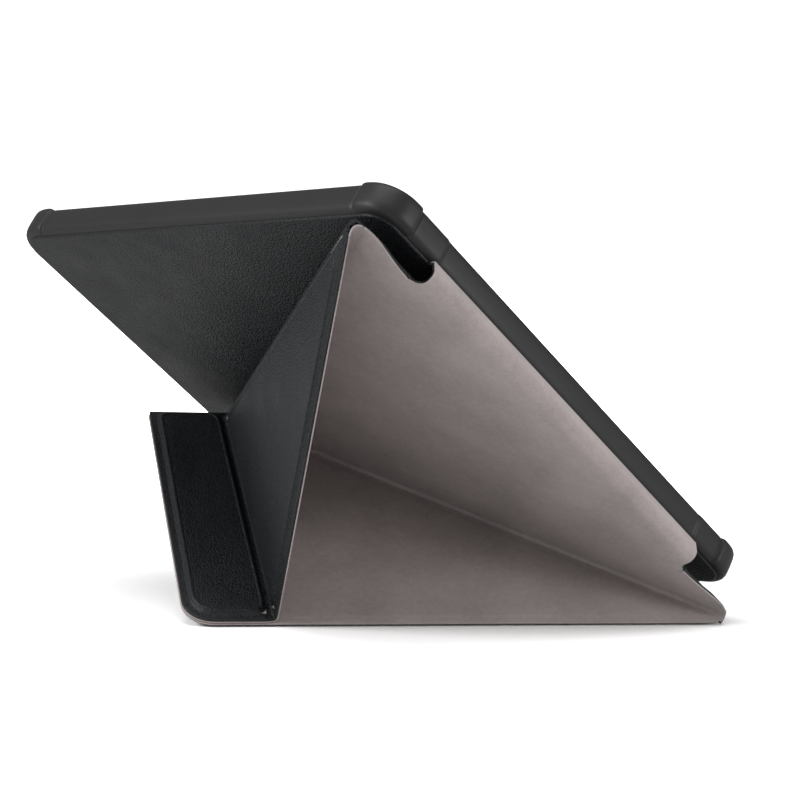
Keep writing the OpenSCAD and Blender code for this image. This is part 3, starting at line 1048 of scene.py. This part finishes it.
def build_folds(radius):
    """Bends leather and lining over the folds between the panels."""
    leather, lining = material("fine_grain_leather"), material("microfibre_lining")
    skins = (("leather", leather, (Z_LEA, Z_FLAT)), ("lining", lining, (Z_LIN, Z_LEA)))
    for kind, mat, layers in skins:
        is_leather = kind == "leather"
        wide = 0.0 if is_leather else APEX_EXTRA
        fold_strip(f"lower_fold_{kind}", "rear", "base", P_K, P_N, FOLD_BAND + BEND_LAP, layers, radius,
                   (CORNER_TRIM, POINT_TRIM), mat, ("lower_crease",) if is_leather else ())
        fold_strip(f"upper_fold_{kind}", "rear", "prop", P_N, P_T, FOLD_BAND + BEND_LAP + wide, layers,
                   radius + wide, (POINT_TRIM, CORNER_TRIM), mat,
                   ("upper_crease",) if is_leather else (), fill=APEX_EXTRA if is_leather else 0.0)
        fold_strip(f"flap_fold_{kind}", "prop", "flap", P_N, P_E, FLAP_BAND + BEND_LAP, layers, 2.4,
                   (2.0, 0.4), mat)
    build_top_fold(leather)


def build_top_fold(leather):
    """Wraps the leather round the doubled top edge of base and flap."""
    bm = bmesh.new()
    along = unit(np.subtract(P_N, P_L))
    inward = np.array([-along[1], along[0]])
    length = math.dist(P_L, P_N)
    rows = []
    turns = [math.pi * k / 16 for k in range(17)]
    outer = [(-math.sin(a), math.cos(a)) for a in turns]
    steps = 30
    for i in range(steps + 1):
        s = 0.5 + (length - 1.5) * i / steps
        origin = np.array(P_L) + along * s
        row = []
        for rad in (Z_FLAT, 0.55):
            ring = [(0.55, rad)] + [(c * rad, z * rad) for c, z in outer] + [(0.55, -rad)]
            row.append([bm.verts.new(metres(at("base", (*(origin + inward * c), z)))) for c, z in ring])
        rows.append(row)
    n = len(rows[0][0])
    for r0, r1 in zip(rows, rows[1:]):
        for side in (0, 1):
            for k in range(n - 1):
                bm.faces.new([r0[side][k], r0[side][k + 1], r1[side][k + 1], r1[side][k]])
        for k in (0, n - 1):
            bm.faces.new([r0[0][k], r0[1][k], r1[1][k], r1[0][k]])
    for row in (rows[0], rows[-1]):
        for k in range(n - 1):
            bm.faces.new([row[0][k], row[0][k + 1], row[1][k + 1], row[1][k]])
    obj = finish_mesh("top_fold_leather", bm, leather, 60)
    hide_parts("flap_crease")
    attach(obj, "base")
    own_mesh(obj)


def bead_tree():
    """A node tree that runs a round bead along a path."""
    tree = bpy.data.node_groups.new("pressed_bead", "GeometryNodeTree")
    face = tree.interface
    face.new_socket("Geometry", in_out="INPUT", socket_type="NodeSocketGeometry")
    radius = face.new_socket("Bead radius", in_out="INPUT", socket_type="NodeSocketFloat")
    sides = face.new_socket("Bead sides", in_out="INPUT", socket_type="NodeSocketInt")
    mat = face.new_socket("Bead material", in_out="INPUT", socket_type="NodeSocketMaterial")
    face.new_socket("Geometry", in_out="OUTPUT", socket_type="NodeSocketGeometry")
    nodes, links = tree.nodes, tree.links
    given, out = nodes.new("NodeGroupInput"), nodes.new("NodeGroupOutput")
    curve = nodes.new("GeometryNodeMeshToCurve")
    even = nodes.new("GeometryNodeResampleCurve")
    even.mode = "LENGTH"
    even.inputs["Length"].default_value = 0.0035
    ring = nodes.new("GeometryNodeCurvePrimitiveCircle")
    sweep = nodes.new("GeometryNodeCurveToMesh")
    smooth = nodes.new("GeometryNodeSetShadeSmooth")
    paint = nodes.new("GeometryNodeSetMaterial")
    real = nodes.new("GeometryNodeRealizeInstances")
    links.new(given.outputs["Geometry"], curve.inputs["Mesh"])
    links.new(curve.outputs["Curve"], even.inputs["Curve"])
    links.new(given.outputs["Bead radius"], ring.inputs["Radius"])
    links.new(given.outputs["Bead sides"], ring.inputs["Resolution"])
    links.new(even.outputs["Curve"], sweep.inputs["Curve"])
    links.new(ring.outputs["Curve"], sweep.inputs["Profile Curve"])
    links.new(sweep.outputs["Mesh"], smooth.inputs["Geometry"])
    links.new(smooth.outputs["Geometry"], real.inputs["Geometry"])
    links.new(real.outputs["Geometry"], paint.inputs["Geometry"])
    links.new(given.outputs["Bead material"], paint.inputs["Material"])
    links.new(paint.outputs["Geometry"], out.inputs["Geometry"])
    return tree, radius.identifier, sides.identifier, mat.identifier


def build_beads(settings):
    """Runs the bead round each panel, just inside its hem."""
    tree, radius, sides, mat = bead_tree()
    hem = settings.hem_width * MM
    for body in FOLDS:
        poly = soften(panel_outline(body, hem + 1.9, 1.6, spine=hem + 2.8 if body == "rear" else None), 3.5)
        mesh = bpy.data.meshes.new(f"{body}_panel_bead")
        mesh.from_pydata([metres(at(body, (x, y, 3.1 - settings.bead_radius * MM))) for x, y in poly],
                         [(i, (i + 1) % len(poly)) for i in range(len(poly))], [])
        obj = bpy.data.objects.new(f"{body}_panel_bead", mesh)
        bpy.context.scene.collection.objects.link(obj)
        mod = obj.modifiers.new("bead", "NODES")
        mod.node_group = tree
        mod[radius] = settings.bead_radius
        mod[sides] = 12
        mod[mat] = material("fine_grain_leather")
        bpy.context.view_layer.update()
        made = bpy.data.meshes.new_from_object(obj.evaluated_get(bpy.context.evaluated_depsgraph_get()))
        obj.modifiers.remove(mod)
        obj.data = made
        bpy.data.meshes.remove(mesh)
        if not len(made.polygons):
            raise RuntimeError("the bead's node tree made no faces")
        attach(obj, body)


def build_stage(settings):
    """Lays the floor, hangs the lights and sets the camera."""
    scene = bpy.context.scene
    size = settings.floor_size
    mesh = bpy.data.meshes.new("floor")
    bm = bmesh.new()
    bmesh.ops.create_grid(bm, x_segments=4, y_segments=4, size=size / 2)
    for v in bm.verts:
        v.co.z = -0.0002
    bm.to_mesh(mesh)
    bm.free()
    mesh.materials.append(material("pale_floor"))
    floor = bpy.data.objects.new("floor", mesh)
    scene.collection.objects.link(floor)
    world = bpy.data.worlds.new("studio")
    world.use_nodes = True
    back = world.node_tree.nodes["Background"]
    back.inputs["Color"].default_value = (1, 1, 1, 1)
    seen = world.node_tree.nodes.new("ShaderNodeLightPath")
    level = world.node_tree.nodes.new("ShaderNodeMapRange")
    level.inputs["To Min"].default_value = settings.sky
    level.inputs["To Max"].default_value = 1.3
    world.node_tree.links.new(seen.outputs["Is Camera Ray"], level.inputs["Value"])
    world.node_tree.links.new(level.outputs["Result"], back.inputs["Strength"])
    scene.world = world
    scene.view_settings.view_transform = "Standard"

    def lamp(name, at_, to, width, height, power, spread=180):
        light = bpy.data.lights.new(name, "AREA")
        light.shape, light.size, light.size_y, light.energy = "RECTANGLE", width, height, power
        light.spread = math.radians(spread)
        obj = bpy.data.objects.new(name, light)
        obj.location = at_
        obj.rotation_euler = (Vector(to) - Vector(at_)).to_track_quat("-Z", "Y").to_euler()
        scene.collection.objects.link(obj)

    lamp("key_light", (1.0, -0.75, 0.22), (0.03, 0.0, 0.08), 0.5, 0.4, settings.key * 0.5)
    lamp("top_light", (-0.1, -0.3, 1.4), (0.0, -0.1, 0.0), 1.2, 0.9, settings.key * 1.0)
    lamp("left_light", (-1.25, -0.38, 0.8), (-0.08, -0.05, 0.05), 0.6, 0.5, settings.key * 1.3)
    lamp("low_light", (-1.2, -0.4, 0.16), (-0.08, 0.0, 0.05), 0.7, 0.3, settings.key * 0.15)

    cam = bpy.data.cameras.new("camera")
    cam.sensor_width, cam.lens = 36.0, 110.86
    cam.clip_start, cam.clip_end = 0.05, 60
    obj = bpy.data.objects.new("camera", cam)
    right, up, ahead = ((0.970781, -0.236842, 0.038614), (-0.017699, 0.089806, 0.995802),
                        (0.239316, 0.967389, -0.08299))
    m = Matrix.Identity(4)
    for i in range(3):
        m[i][0], m[i][1], m[i][2] = right[i], up[i], -ahead[i]
    m[0][3], m[1][3], m[2][3] = -0.21766, -0.90808, 0.15812
    obj.matrix_world = m
    scene.collection.objects.link(obj)
    scene.camera = obj


class CASE_PT_panel(bpy.types.Panel):
    """Lists the case's settings and the steps that build it."""

    bl_idname = "CASE_PT_panel"
    bl_label = "Tablet case"
    bl_space_type = "VIEW_3D"
    bl_region_type = "UI"
    bl_category = "Tablet case"

    def draw(self, context):
        layout, scene = self.layout, context.scene
        for group in (scene.case_cover, scene.case_tray, scene.case_finish, scene.case_stage):
            box = layout.box()
            for key in group.__annotations__:
                box.prop(group, key)
        for name in STEPS:
            layout.operator(f"case.{name}")


STEPS = ("tray", "back", "spine", "panels", "folds", "beads", "insides", "stage")
CLASSES = (CaseCoverSettings, CaseTraySettings, CaseFinishSettings, CaseStageSettings, CASE_OT_tray,
           CASE_OT_back, CASE_OT_spine, CASE_OT_panels, CASE_OT_folds, CASE_OT_beads, CASE_OT_insides,
           CASE_OT_stage, CASE_PT_panel)
GROUPS = {"case_cover": CaseCoverSettings, "case_tray": CaseTraySettings,
          "case_finish": CaseFinishSettings, "case_stage": CaseStageSettings}


def register():
    """Adds the classes and the scene's settings."""
    for c in CLASSES:
        bpy.utils.register_class(c)
    for name, group in GROUPS.items():
        setattr(bpy.types.Scene, name, bpy.props.PointerProperty(type=group))


def unregister():
    """Takes the settings and the classes away."""
    for name in GROUPS:
        delattr(bpy.types.Scene, name)
    for c in reversed(CLASSES):
        bpy.utils.unregister_class(c)


def main():
    """Builds everything in order."""
    register()
    for name in STEPS:
        getattr(bpy.ops.case, name)()


if __name__ == "__main__":
    main()
